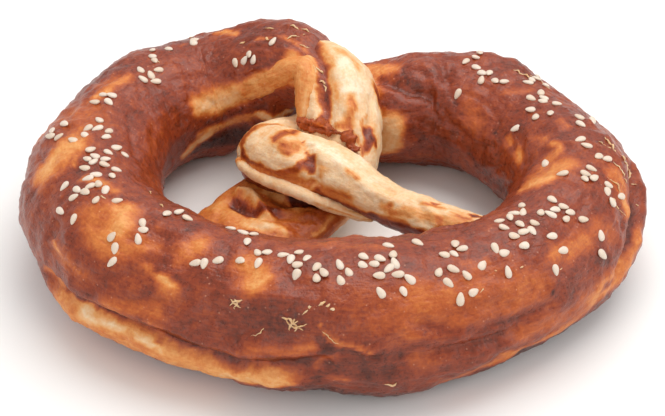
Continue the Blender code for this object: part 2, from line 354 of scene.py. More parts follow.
# %% [markdown]
# ## The skin of a rope
#
# A place on the skin has two numbers: how far along the rope, and how far round it. Round is an angle, 0 on
# the ring's outside, 90 on top and 180 on the inside. Unrolled, the two are millimetres on a flat sheet,
# which is where folds and colours are drawn. They could be drawn in x, y and z, but then each would have to
# be bent by hand along the rope.

# %% Points and directions on the smooth skin
DIRECTION_STEP = 0.5


def unit(vectors):
    return vectors / np.linalg.norm(vectors, axis=-1, keepdims=True)


def smooth_skin(rope, along, turn):
    row = read(rope, along)
    forward = (read(rope, along + DIRECTION_STEP) - read(rope, along - DIRECTION_STEP))[..., :3]
    side = unit(np.cross(forward, (0, 0, 1)))
    up = unit(np.cross(side, forward))
    out = np.cos(np.radians(turn))[..., None]
    high = np.sin(np.radians(turn))[..., None]
    half_width, half_thickness = row[..., 3:4], row[..., 4:5]
    points = row[..., :3] + side * out * half_width + up * high * half_thickness
    return points, unit(side * out / half_width + up * high / half_thickness)


# %% Places on the unrolled skin
RING_RADIUS = 17
STRAND_RADIUS = 9
ring_angles = np.degrees(np.unwrap(np.arctan2(ring_rope[:, 1], -ring_rope[:, 2])))


def on_ring(angle, turn):
    """A place on the ring's unrolled skin, from the angle round the ring (0 in front, 90 right)."""
    return np.array([np.interp(angle, ring_angles, ring_rope[:, 0]), math.radians(turn) * RING_RADIUS])


def on_strand(along, turn):
    return np.array([along, math.radians(turn) * STRAND_RADIUS])


def laid(course, place):
    """The places of a course that is written as two numbers for each: angle or distance, then turn."""
    return [place(*spot) for spot in zip(course[::2], course[1::2])]


def nearest_on(spots, course):
    """How far spots are from a course, and on which side: above 0 on the left hand of its direction."""
    nearest = np.full(spots.shape[:-1], np.inf)
    side = np.zeros(spots.shape[:-1])
    for start, stop in zip(course, course[1:] or course):
        run = stop - start
        away = spots - start
        share = np.clip((away @ run) / (run @ run or 1), 0, 1)[..., None]
        reach = np.linalg.norm(away - share * run, axis=-1)
        closer = reach < nearest
        nearest = np.where(closer, reach, nearest)
        side = np.where(closer, run[0] * away[..., 1] - run[1] * away[..., 0], side)
    return nearest, np.sign(side)


# %% [markdown]
# ## Folds and swellings
#
# Three kinds of relief shape the skin. A swell is a soft ridge or hollow along a course. A lap is
# the edge of one sheet lying on another: the skin steps up sharply on one side of the course and eases back
# down. Finer, undirected lumps come from noise. Displacing in a shader would be lost on export, so the points
# move.

# %% Swells of the ring: height, half width, then the course as ring angle, turn, ring angle, turn ...
RING_SWELLS = (
    (1, 9, -163, 66),
    (0.8, 9, -142, 66),
    (1.4, 9, -126, 55),
    (-0.7, 8, -106, 36),
    (-0.9, 9, -52, -24, -40, -32),
    (0.8, 8, -22, -38),
    (-0.8, 8, -4, -40),
    (0.7, 8, 18, -38),
    (-1.1, 9, 36, -37, 46, -36),
    (1, 9, 70, -22),
    (-1.9, 8, 96, 36, 109, 48),
    (3, 7, 134, 62, 138, 62),
    (2, 6, 167, 58),
    (-1.2, 9, 100, 205, 140, 222),
    (2.8, 6, -164, 228, -146, 228),
    (1.8, 4.4, -72, -17, -52, -19, -36, -21, -19, -24, -8, -20),
    (-1.8, 2, -70, -5, -62, -4, -54, -1, -45, 2, -38, 0, -32, -5, -24, -9, -12, -5, -2, 1),
    (0.9, 2.6, -62, 8, -50, 13, -40, 12, -30, 6),
    (-1.9, 1.8, 90, 39, 83, 23, 77, 9, 72, 1),
    (0.6, 3, 91, 24, 85, 6, 80, -8, 74, -18),
    (-1.3, 2.2, 20, 29, 27, 20, 36, 16, 44, 14, 50, 15),
    (-1.3, 2, 15, 14, 25, 9, 32, 5, 42, 3),
    (0.9, 2.6, 20, 19, 30, 13, 40, 10),
    (0.8, 3, 20, -4, 34, -8, 50, -8),
    (0.9, 2, -20, 2, -12, 8, -4, 12),
    (-0.9, 2.2, -24, 16, -13, 24, -5, 24),
    (0.7, 2.6, -26, 44, -15, 50, -4, 48),
    (-1.7, 2, 163, 96, 160, 112, 157, 128, 150, 138),
    (0.8, 2.6, 152, 100, 150, 116),
    (-0.7, 1.4, 148, 92, 146, 112, 142, 122),
)
RING_FINE_SWELLS = (
    (-0.7, 1.3, -66, -1, -52, 2, -42, 0, -34, -5, -20, -7, -9, -4),
    (-0.6, 1.2, 92, 35, 86, 25, 80, 11, 76, 1),
    (0.4, 1, 93, 30, 88, 20, 84, 6, 81, -6),
    (0.8, 1.4, 89, 29),
    (0.6, 1.4, 84, 15),
    (0.8, 1.8, 80, 1),
    (0.7, 1.6, 76, -5),
    (0.8, 1.5, 95, 62),
    (0.7, 1.4, 100, 72),
    (0.7, 1.4, 106, 84),
    (0.8, 1.2, -168, 82),
    (0.6, 1, -165, 93),
    (0.6, 1.2, -171, 73),
    (-0.5, 1.4, -52, 18, -42, 20, -34, 14),
    (-0.6, 1.2, -16, 3, -8, 4, -2, 6),
    (0.5, 1, -17, 48, -12, 48, -6, 50),
    (-0.5, 1.5, -30, 38, -22, 30, -18, 18),
    (-0.4, 1.4, 20, 30, 34, 34, 46, 28),
    (-0.6, 1.6, 24, 6, 40, 4, 56, -2),
    (-0.5, 1.6, 2, -4, 16, -6, 30, -8),
    (0.4, 1.6, 4, -12, 18, -14, 34, -16),
    (-0.7, 1.1, 150, 150, 140, 158, 128, 160),
)

# %% Laps of the ring: height, the width over which it eases back, then the course
RING_LAPS = (
    (1.2, 6, -2, 40, -2, 33, -1, 27, 1, 21, 4, 16, 7, 12, 12, 9, 20, 8),
    (0.6, 5, -16, -9, -10, -7, -6, -6, -2, -1, 0, 6, 2, 13),
    (0.5, 5, -72, 2, -58, 3, -46, 3, -38, -2, -28, -6, -10, -6),
    (0.5, 5, 92, 38, 86, 28, 80, 14, 75, 2),
)

print(len(RING_SWELLS + RING_FINE_SWELLS), "swells and", len(RING_LAPS), "laps shape the ring")

# %% Raise the skin along a course, or step up on one side of it
LAP_EDGE = 0.7


def swell(spots, rows, place):
    rise = np.zeros(spots.shape[:-1])
    for height, half_width, *course in rows:
        reach, _ = nearest_on(spots, laid(course, place))
        rise += height * np.exp(-((reach / half_width) ** 2))
    return rise


def lap(spots, rows, place):
    rise = np.zeros(spots.shape[:-1])
    for height, reach_back, *course in rows:
        reach, side = nearest_on(spots, laid(course, place))
        step = np.clip(0.5 + side * reach / LAP_EDGE, 0, 1)
        rise += height * step * np.exp(-reach / reach_back)
    return rise


# %% Lumps and dimples without direction
DIMPLE_FALL, DIMPLE_STEP, DIMPLE_OCTAVES = 0.75, 2.1, 4
CREASE_LENGTH = 16
CREASE_WIDTH = 0.12
CREASED_STRETCH = 26
CREASED_CONTRAST = 3


def noise_at(points, size, kind):
    """One kind of noise at all the points, with bumps about that size."""
    values = np.array([kind(p) for p in (points / size).reshape(-1, 3).tolist()])
    return values.reshape(points.shape[:-1] + values.shape[1:])


def lumps(points, size):
    """Soft noise between about -0.5 and 0.5."""
    return noise_at(points, size, noise.noise)


def dimples(points, size):
    """The same with ever finer bumps on the bumps."""
    return noise_at(points, size, lambda p: noise.fractal(p, DIMPLE_FALL, DIMPLE_STEP, DIMPLE_OCTAVES))


def creases(points, along, turn, gaps):
    """1 in the bottom of thin creases that run with the rope, 0 between them. Some stretches have none."""
    angle = np.radians(turn)
    rolled = np.stack([along / CREASE_LENGTH, np.cos(angle) * gaps, np.sin(angle) * gaps], axis=-1)
    there = np.clip(CREASED_CONTRAST * lumps(points, CREASED_STRETCH) + 0.5, 0, 1)
    return there * np.exp(-((lumps(rolled, 1) / CREASE_WIDTH) ** 2))


# %% [markdown]
# ## Painting the wrap
#
# One number on every point says how much wrap covers the core: 0 is a crease darkened with painted shade, 0.25
# the full wrap, 0.6 a wrap so thin that it glows orange, and 1 the bare cream core. Some strokes paint shade
# into creases, gaps and the belly, and a few paint highlights. Strokes are laid like paint, each pulling the
# number towards its own value, and the material turns the number into colour, gloss and texture. Separate
# materials for dark, orange and cream would meet in hard lines, which this food doesn't have.

# %% Lay strokes on the unrolled skin
SOFTNESS = 1.6
WANDERS = ((1.2, 5), (0.5, 1.7))


def wandered(points, spots):
    """Spots pushed about, in wide waves and then in small ones, so that strokes end in ragged edges."""
    for push, size in WANDERS:
        spots = spots + push * noise_at(points, size, noise.noise_vector)[..., :2]
    return spots


def painted(points, spots, ground, strokes, place):
    """The number on every point: the ground, with the strokes laid over it in their order."""
    shade = np.full(spots.shape[:-1], ground)
    loose = wandered(points, spots)
    for target, half_width, fade, *course in strokes:
        reach, _ = nearest_on(loose, laid(course, place))
        share = np.clip((half_width - reach) / (SOFTNESS * fade) + 0.5, 0, 1)
        shade += (target - shade) * share * share * (3 - 2 * share)
    return shade


# %% Strokes of the ring: number, half width, the width over which it fades, then the course
RING_GROUND = 0.24
RING_STROKES = (
    # The left shoulder
    (0.39, 6, 8, -105, 65, -104, 86),
    (0.50, 2, 3, -94, 76, -98, 84),
    (0.40, 2, 3, -118, 72, -121, 82),
    (0.56, 1.5, 2.5, -112, 81, -115, 84, -119, 89, -122, 93),
    (0.65, 0.6, 1.5, -112, 81, -115, 87),
    (0.64, 3.6, 3.4, -87, 48, -89, 60, -91, 72, -91, 81),
    (0.67, 0.8, 1.6, -88, 55, -91, 63, -91, 72),
    (0.60, 0.7, 1.4, -85, 76, -87, 79),
    (0.57, 1.2, 2, -78, 79, -76, 86, -72, 88, -69, 91),
    (0.48, 3, 4, -67, 67, -62, 53),
    (0.64, 3.4, 3.4, -61, 79, -58, 69, -58, 58),
    (0.66, 1, 2, -58, 61, -58, 72),
    (0.50, 2, 3, -58, 50, -55, 55, -49, 67),
    (0.57, 2.6, 3, -40, 74, -38, 82),
    (0.44, 1.6, 2.5, -41, 65, -38, 68),
    (0.50, 1.2, 2.5, -42, 39, -40, 38),
    (0.46, 0.8, 1.6, -48, 50, -46, 48),
    (0.72, 0.8, 1.3, -44, 45, -42, 44, -40, 43),
    (0.48, 1.6, 2.4, -69, 24, -65, 22, -60, 21),
    (0.70, 0.4, 0.9, -71, 27, -68, 25),
    (0.56, 0.9, 1.4, -72, -3, -69, -4, -67, -5),
    # The belly, darkened with painted shade underneath, and the ledge along the front left
    # Painted shade along the underside of the belly
    (0.11, 7, 6, -4, -50, 20, -52, 50, -52, 80, -46),
    (0.21, 4, 5, -37, 5, -30, 15, -22, 24),
    (0.22, 2.5, 3, -60, 10, -55, 19, -49, 26),
    (0.43, 1.4, 2, -53, 10, -49, 15, -45, 19, -41, 18),
    (0.58, 5, 3, -65, -23, -60, -23, -53, -23, -45, -23, -38, -25, -30, -29),
    (0.54, 2.6, 2.2, -30, -27, -22, -23, -15, -19, -9, -14),
    (0.16, 2.4, 2, -24, -41, -19, -37, -12, -34, -5, -28),
    (0.61, 3, 1.6, -64, -14, -60, -13, -53, -12, -45, -11, -38, -14, -30, -20),
    (0.55, 1.2, 1.8, -53, -19, -47, -17, -43, -16),
    (0.68, 1.8, 1.6, -28, -22, -22, -22, -15, -20, -10, -15, -6, -9),
    (0.86, 0.9, 1.4, -60, -9, -56, -10, -50, -9),
    (0.84, 0.9, 1.4, -46, -8, -41, -10),
    (0.40, 0.8, 1, -42, -3, -41, -6),
    # Painted shade: dark lines in the crease above the ledge
    (0.10, 0.4, 0.5, -66, -6, -63, -3, -59, -1),
    (0.10, 0.5, 0.6, -58, -2, -54, 0, -49, 2, -44, 7, -41, 5),
    (0.10, 0.7, 0.7, -40, 3, -37, -2, -33, -4, -30, -5, -25, -8),
    (0.12, 0.5, 0.7, -25, -9, -20, -7, -13, -4, -8, -2, -4, 0),
    (0.44, 0.5, 0.8, -44, 12, -41, 12, -40, 7),
    # The front
    (0.36, 1.4, 2, -10, 106, 2, 101, 14, 96),
    (0.36, 4.5, 6, 12, 45, 18, 46, 25, 45),
    (0.46, 2.2, 3.5, 21, 53, 21, 45, 26, 46),
    (0.58, 3, 4, -23, 77, -20, 69, -19, 58),
    (0.63, 0.9, 2, -20, 58, -18, 59, -16, 63),
    (0.20, 3, 4, -21, 36, -14, 36, -10, 31),
    (0.41, 1.4, 2, -18, 9, -13, 10, -7, 12),
    # Painted shade in the same crease, carried on across the front
    (0.12, 1.8, 2, -12, -2, -7, 0, -2, 3, 5, 3),
    (0.54, 0.5, 1.2, -7, 16, -3, 15),
    # Painted shade in a pit and under the lifted flap's edge, then a painted highlight along that edge
    (0.04, 0.8, 1, -1, 12, 1, 10),
    (0.09, 0.9, 1.4, -1, 19, 1, 15, 5, 12, 10, 10, 15, 7),
    (0.52, 0.5, 0.7, -2, 31, -1, 26, 1, 21, 4, 18, 9, 15),
    (0.14, 3.2, 4, -3, -8, 5, -5, 14, -6),
    # A painted highlight on the fold that runs down from the pit
    (0.36, 0.6, 1, 1, 9, -1, 0, -4, -7),
    (0.44, 0.7, 1.6, 1, -12, 4, -12),
    # The right front
    (0.42, 4.5, 5, 35, 46, 42, 43, 48, 34),
    (0.38, 3.2, 5, 16, 28, 24, 28, 31, 30, 44, 30),
    (0.38, 2.2, 3, 44, -2, 54, -4, 62, -4),
    (0.52, 1.6, 2.4, 28, -36, 40, -32, 50, -28, 58, -20, 64, -12),
    (0.20, 0.9, 1.8, 20, 29, 27, 20, 36, 16, 44, 14, 50, 15),
    (0.18, 1.2, 2.2, 19, 13, 25, 9, 32, 5, 39, 4),
    (0.36, 1.2, 2, 19, 2, 24, -3),
    (0.48, 0.7, 1.5, 33, 69, 36, 65, 40, 64),
    (0.54, 0.7, 1.2, 40, -22, 44, -29, 46, -30),
    (0.54, 0.6, 1, 55, -31, 56, -24, 58, -21),
    (0.21, 2.6, 4, 54, 22, 61, 24, 66, 23),
    (0.53, 1.4, 2, 62, -7, 64, -2, 65, 5, 68, 5, 73, 0),
    (0.62, 0.5, 1.2, 64, -2, 66, 4),
    (0.02, 0.4, 0.5, 52, 26, 52, 22),
    (0.05, 0.7, 0.9, 66, 25, 68, 19),
    (0.12, 1.3, 1.8, 67, 25, 68, 15),
    (0.64, 1, 1.5, 64, -9, 68, -10, 70, -8),
    (0.52, 1.6, 2, 81, 6, 78, -1, 75, -7, 71, -9),
    (0.62, 1.5, 1.6, 84, 58, 83, 50, 81, 41, 80, 31),
    (0.52, 1.8, 3, 56, 50, 59, 50, 62, 48, 65, 44),
    (0.42, 2.4, 3, 70, 47, 71, 33),
    # Painted shade: a dark line in the groove
    (0.10, 0.5, 0.8, 87, 37, 85, 26, 82, 17, 78, 7, 75, 2),
    # The right shoulder
    (0.58, 3.8, 3.5, 72, 124, 76, 119, 79, 112, 81, 104),
    (0.50, 2.6, 3, 80, 126, 84, 121, 87, 115),
    (0.66, 1.6, 2.5, 72, 112, 76, 104),
    (0.19, 0.8, 2, 67, 128, 80, 143, 88, 137, 93, 125),
    (0.62, 0.4, 1.2, 88, 121, 84, 124),
    (0.58, 1, 1.5, 93, 113, 90, 108, 87, 108),
    (0.45, 1, 1.8, 100, 122, 96, 117),
    (0.44, 0.8, 1.5, 101, 98, 98, 96),
    (0.47, 0.8, 1.6, 104, 141, 99, 144),
    (0.43, 0.6, 1.2, 112, 144, 109, 147),
    (0.46, 1.2, 2, 84, 64, 83, 55, 83, 43),
    (0.34, 2.6, 3, 133, 130, 126, 147),
    (0.14, 2.6, 4, 120, 184, 110, 190, 98, 186, 88, 176),
    (0.54, 1, 1.6, 111, 142, 109, 146),
    (0.56, 1.2, 1.6, 103, 146, 98, 145),
    (0.40, 1.2, 2, 124, 103, 120, 89),
    # The right arm by the twist
    (0.19, 3.4, 5, 159, 171, 139, 177, 124, 173, 112, 180),
    (0.55, 3, 2.5, 165, 76, 163, 84, 160, 90),
    (0.58, 2.4, 2, 166, 96, 165, 115),
    # Painted shade: a dark line in the groove
    (0.16, 0.5, 1, 162, 94, 161, 108, 159, 121),
    (0.13, 0.8, 1, 166, 124, 163, 132, 161, 146),
    (0.50, 1.2, 1.6, 167, 134, 163, 141, 161, 154),
    (0.50, 1.2, 1.2, 173, 197, 168, 194, 163, 192),
    (0.76, 4.6, 2, 172, 146, 166, 158, 166, 178),
    # Painted shade: dark lines in the grooves
    (0.13, 0.5, 0.8, 157, 96, 157, 108, 157, 118),
    (0.13, 0.5, 0.8, 159, 110, 159, 122, 157, 132, 154, 135),
    (0.02, 0.4, 0.5, 118, 142, 116, 146),
    (0.06, 0.3, 0.5, 137, 137, 135, 140),
    # The left arm by the twist
    (0.60, 1.2, 1.5, -153, 72, -156, 84, -159, 96),
    (0.48, 1.2, 1.8, -169, 103, -172, 103),
    (0.50, 0.8, 1, -165, 112, -167, 113),
    (0.36, 0.4, 0.6, -142, 86, -147, 88),
    (0.20, 1.4, 1.5, -133, 174, -141, 178, -147, 180, -154, 184, -159, 190, -165, 202, -171, 214),
    (0.60, 1.5, 1.2, -133, 184, -143, 186, -155, 195, -158, 200, -162, 207, -166, 219, -170, 240),
    # Painted shadow in the gap under the band
    (0.06, 2, 1.4, -133, 200, -143, 204, -151, 210, -157, 218),
    (0.76, 1.5, 1.3, -127, 203, -130, 198, -134, 193, -139, 189),
    (0.84, 1.6, 1.4, -162, 207, -166, 219, -170, 240),
    (0.52, 3.4, 2.4, -134, 153, -140, 155, -155, 166, -161, 172, -167, 173, -171, 165, -173, 150),
    (0.52, 3.4, 1.8, -173, 150, -173, 136, -173, 124),
    (0.72, 2.3, 2.6, -133, 152, -141, 156, -155, 167, -160, 171),
    (0.66, 2.6, 2.2, -164, 172, -169, 168, -172, 156, -173, 138, -173, 126),
    # A paler core on the band, partly a painted highlight
    (0.80, 0.9, 1.6, -136, 154, -142, 158),
    # Round the back, out of the photo
    (0.50, 2.4, 3.5, 120, 20, 128, 28),
    (0.46, 3, 4, 152, 30, 160, 24),
    (0.52, 1.6, 2.5, -150, 18, -142, 26, -138, 24),
    (0.44, 3.4, 4.5, -112, 22, -104, 30),
)
print(len(RING_STROKES), "strokes paint the ring")

# %% [markdown]
# ## Weaving the mesh
#
# The skin is a grid: rows along the rope, points round each row, and quads between them. The grid has a point
# about every 0.7 mm, fine enough for a fold's edge. Each corner also keeps its place on the unrolled skin, as
# a UV map, so that the material can draw fibres that run with the rope. Shapes joined and remeshed would give
# a skin too, but without rows, and then nothing would say which way the rope runs.

# %% Grid points with all their relief
LOWEST_TURN = -90
NO_CREASE = (0, 1)


class Skin:
    """What one rope is covered with: its relief, its paint and how its skin is unrolled.

    Lumps, roughness and creases are given by how high they are and how big. The rest of the relief are folds.
    """

    def __init__(self, rope, lump, rough, crease, ground, strokes, swells=(), laps=()):
        self.rope, self.lump, self.rough, self.crease = rope, lump, rough, crease
        self.ground, self.strokes, self.swells, self.laps = ground, strokes, swells, laps
        self.radius, self.place = (RING_RADIUS, on_ring) if rope is ring_rope else (STRAND_RADIUS, on_strand)

    def points(self, along, turn):
        points, normals = smooth_skin(self.rope, along, turn)
        spots = np.stack([along, np.radians(turn) * self.radius], axis=-1)
        rise = self.lump[0] * lumps(points, self.lump[1])
        rise += swell(spots, self.swells, self.place) + lap(spots, self.laps, self.place)
        rise += self.rough[0] * dimples(points, self.rough[1])
        rise -= self.crease[0] * creases(points, along, turn, self.radius / self.crease[1])
        points = points + normals * rise[..., None]
        points[..., 2] = np.maximum(points[..., 2], 0)  # pressed flat on the table
        return points, normals, spots

    def shade(self, points, spots):
        return painted(points, spots, self.ground, self.strokes, self.place)


# %% Quads between rows
UNROLLED_UNIT = 100


def tube_faces(rows, sides):
    faces = []
    for row in range(rows - 1):
        for side in range(sides):
            after = (side + 1) % sides
            near = row * sides
            far = near + sides
            faces.append((near + side, far + side, far + after, near + after))
    faces.append(tuple(range(sides)))
    faces.append(tuple(reversed(range((rows - 1) * sides, rows * sides))))
    return faces


def add_mesh(name, points, faces):
    """A smooth mesh object from points in millimetres round the ring's centre."""
    mesh = bpy.data.meshes.new(name)
    mesh.from_pydata(((points.reshape(-1, 3) + (*RING_CENTRE, 0)) * MM).tolist(), [], faces)
    mesh.shade_smooth()
    return put(name, mesh)


def add_attribute(obj, name, values):
    values = np.ravel(values).astype(np.float32)
    obj.data.attributes.new(name, "FLOAT", "POINT").data.foreach_set("value", values)


def add_unrolled(obj, rows, sides, along, turn, radius):
    """The UV map: millimetres along and round, so the last column of quads doesn't fold back on itself."""
    step = turn[0, 1] - turn[0, 0]
    near = np.stack([along, np.radians(turn) * radius], -1)
    over = np.stack([along, np.radians(turn + step) * radius], -1)
    quads = np.stack([near[:-1], near[1:], over[1:], over[:-1]], axis=2) / UNROLLED_UNIT
    caps = np.zeros((2 * sides, 2))
    layer = obj.data.uv_layers.new(name="unrolled")
    layer.uv.foreach_set("vector", np.vstack([quads.reshape(-1, 2), caps]).astype(np.float32).ravel())


def add_rope(name, skin, sides, grain):
    rows = round(skin.rope[-1, 0] / grain) + 1
    turns = LOWEST_TURN + np.arange(sides) * 360 / sides
    along, turn = np.meshgrid(np.linspace(0, skin.rope[-1, 0], rows), turns, indexing="ij")
    points, _, spots = skin.points(along, turn)
    obj = add_mesh(name, points, tube_faces(rows, sides))
    add_attribute(obj, "shade", skin.shade(points, spots))
    add_unrolled(obj, rows, sides, along, turn, skin.radius)
    print(name, len(obj.data.polygons) * 2, "triangles")
    return obj


# %% Build the ring
RING_SIDES = 150
RING_GRAIN = 0.7
ring_skin = Skin(
    ring_rope,
    lump=(1.7, 20),
    rough=(0.6, 5.5),
    crease=(0.4, 5),
    ground=RING_GROUND,
    strokes=RING_STROKES,
    swells=RING_SWELLS + RING_FINE_SWELLS,
    laps=RING_LAPS,
)
ring = add_rope("ring", ring_skin, RING_SIDES, RING_GRAIN)

# %% [markdown]
# ## The left strand
#
# In the twist the wrap is torn away, so the strands are cream with brown streaks. The left strand is a roll
# with two lobes and a strip of wrap left in the cleft between them. It fans out flat where it is pressed on
# the ring. Ring and strands could be one mesh, but where ropes cross, their skins have to stay apart, so
# each is a rope of its own.

# %% Relief and paint of the left strand, with courses in millimetres along it and turns
LEFT_SWELLS = (
    (-1.8, 2.2, 13, 78, 20, 68, 30, 66, 40, 70),
    (-0.7, 1.2, 16, 50, 22, 44, 30, 56),
    (-0.6, 1, 28, 140, 34, 134, 40, 118),
    (0.6, 1.6, 20, 104, 32, 100),
    (1.5, 1, 68, 50, 67, 62, 69, 81, 70, 93, 72, 100),
    (-2, 1.5, 72, 58, 73, 75, 73, 86),
    (-2, 2.2, 64, 98, 61, 108, 58, 124),
    (0.9, 0.7, 69, 104, 66, 111, 63, 115, 59, 125, 58, 136),
    (-0.7, 1, 70, 112, 68, 120, 66, 130, 62, 142),
    (0.8, 2, 76, 106, 76, 120, 74, 132),
)
LEFT_LAPS = ((0.6, 4, 33, 96, 36, 112, 38, 126), (0.7, 4, 60, 128, 68, 122, 76, 108))
LEFT_GROUND = 0.88
LEFT_STROKES = (
    # The long lobe on the left, with its underside
    (0.60, 2.5, 2, 12, 58, 15, 46, 18, 36, 23, 29),
    (0.62, 1.5, 1.5, 15, 23, 17, 4, 24, 6, 30, 4),
    (0.80, 0.8, 1, 17, 25, 22, 20),
    (0.86, 1.2, 1.2, 26, 22, 29, 27, 32, 30),
    # The strip of wrap in the cleft
    (0.62, 2, 1.5, 13, 50, 16, 56),
    (0.30, 0.9, 1.2, 11, 95, 11, 128),
    (0.25, 1.5, 1, 11, 96, 14, 86, 17, 73, 20, 65, 23, 61, 25, 60, 28, 60, 31, 62, 34, 63),
    (0.34, 0.8, 1, 25, 50, 29, 54),
    # Painted shade: a thin dark line in the cleft
    (0.14, 0.3, 0.6, 24, 60, 27, 62, 30, 64),
    # The lobe on the right
    (0.66, 1, 1.2, 16, 88, 21, 79, 25, 80, 29, 82),
    (0.66, 0.8, 1, 18, 102, 20, 118, 22, 121),
    (0.98, 2.6, 2, 22, 95, 25, 101, 28, 104),
    (0.56, 1.4, 1.6, 30, 101, 32, 102, 35, 101),
    (0.50, 0.5, 0.8, 35, 85, 35, 94, 34, 102),
    (0.45, 0.35, 0.5, 31, 110, 34, 104, 36, 105, 39, 118, 41, 134),
    (0.55, 0.3, 0.5, 32, 127, 35, 121, 37, 128, 40, 134),
    (0.80, 1, 1.2, 31, 138, 34, 137),
    (0.22, 1.3, 0.8, 36, 131, 38, 134, 39, 134),
    (0.22, 0.7, 0.8, 37, 138, 38, 151),
    (0.22, 2, 2, 26, 160, 28, 180),
    # The fan on the ring's inner side
    (0.52, 14, 5, 74, 40, 74, 140),
    (0.40, 6, 4, 58, 150, 62, 166, 70, 160),
    (0.60, 2.4, 2, 74, 52, 74, 62, 75, 76),
    (0.60, 1.2, 1.6, 77, 88, 79, 99),
    (0.40, 2.6, 3, 64, 125, 65, 141, 70, 145),
    # Painted shade in the hollow beside the rolled edge
    (0.08, 2.2, 1.2, 63, 99, 60, 110, 56, 130),
    (0.18, 1.7, 0.9, 71, 60, 73, 78, 74, 88),
    (0.36, 2.4, 1, 65, 80, 65, 88, 65, 96),
    (0.76, 0.8, 0.5, 68, 50, 67, 62, 69, 81, 70, 92),
    (0.72, 1, 1.2, 77, 101, 72, 100, 71, 106),
    # Painted shadow along the rolled edge
    (0.06, 0.6, 0.7, 69, 102, 68, 109, 68, 118),
    (0.72, 1, 1.5, 77, 112, 75, 121, 75, 128),
    (0.74, 0.5, 0.4, 69, 104, 66, 110, 63, 115, 59, 125),
    (0.42, 2.6, 2.2, 69, 116, 66, 128, 60, 141, 56, 150),
    (0.72, 0.6, 0.9, 66, 156, 60, 158, 56, 157),
    (0.82, 1.1, 1.3, 79, 98, 78, 108, 75, 118),
    (0.66, 1.4, 1.2, 65, 76, 64, 83, 63, 88),
    (0.16, 1.2, 1.2, 72, 80, 71, 91, 69, 102),
    (0.20, 6, 4, 88, 60, 92, 90, 94, 120),
    # Its back, out of the photo
    (0.60, 1.2, 2, 14, 200, 22, 215),
    (0.40, 0.7, 1.2, 16, 206, 20, 210),
    (0.68, 1.4, 2.4, 36, 215, 48, 220),
)
left_skin = Skin(
    left_rope,
    lump=(1, 22),
    rough=(0.45, 5),
    crease=(0.35, 4),
    ground=LEFT_GROUND,
    strokes=LEFT_STROKES,
    swells=LEFT_SWELLS,
    laps=LEFT_LAPS,
)
STRAND_SIDES = 110
STRAND_GRAIN = 0.6
left_strand = add_rope("left_strand", left_skin, STRAND_SIDES, STRAND_GRAIN)

# %% [markdown]
# ## The core turns the corner
#
# At the peak the left arm bends sharply, and the pale core bulges out of its torn wrap, turns over the corner
# and becomes the strand's left lobe. A swell on the strand could stand for it, but a swell can't overhang,
# and this bulge has a dark gap under its edge. So it is a thin rope of its own that lies on both.

# %% Lay the bulging core
FOLD_SIDES = 60
FOLD_GROUND = 0.62
FOLD_STROKES = (
    (0.80, 1.6, 3, 6, 130, 14, 140, 22, 145),
    (0.74, 1.2, 2.5, 24, 130, 34, 120),
    (0.52, 0.7, 1.2, 10, 92, 17, 96),
    (0.50, 0.8, 1.4, 21, 70, 26, 90),
    (0.88, 1.8, 3, 50, 60, 58, 60),
    (0.74, 1.4, 2.5, 42, 90, 48, 80),
    (0.46, 0.6, 1.2, 44, 130, 54, 130),
)
fold_skin = Skin(
    fold_rope, lump=(0.8, 9), rough=(0.3, 4), crease=(0.25, 1.5), ground=FOLD_GROUND, strokes=FOLD_STROKES
)
band_fold = add_rope("band_fold", fold_skin, FOLD_SIDES, STRAND_GRAIN)

# %% [markdown]
# ## The right strand
#
# It shows as a rounded bump, dips under the left strand and runs on in front, over the ring's hole. It could
# be the left strand mirrored, but the two aren't alike: this one is rounder and thinner, and its shadow side
# keeps a brown skin. So it has stations, folds and strokes of its own.

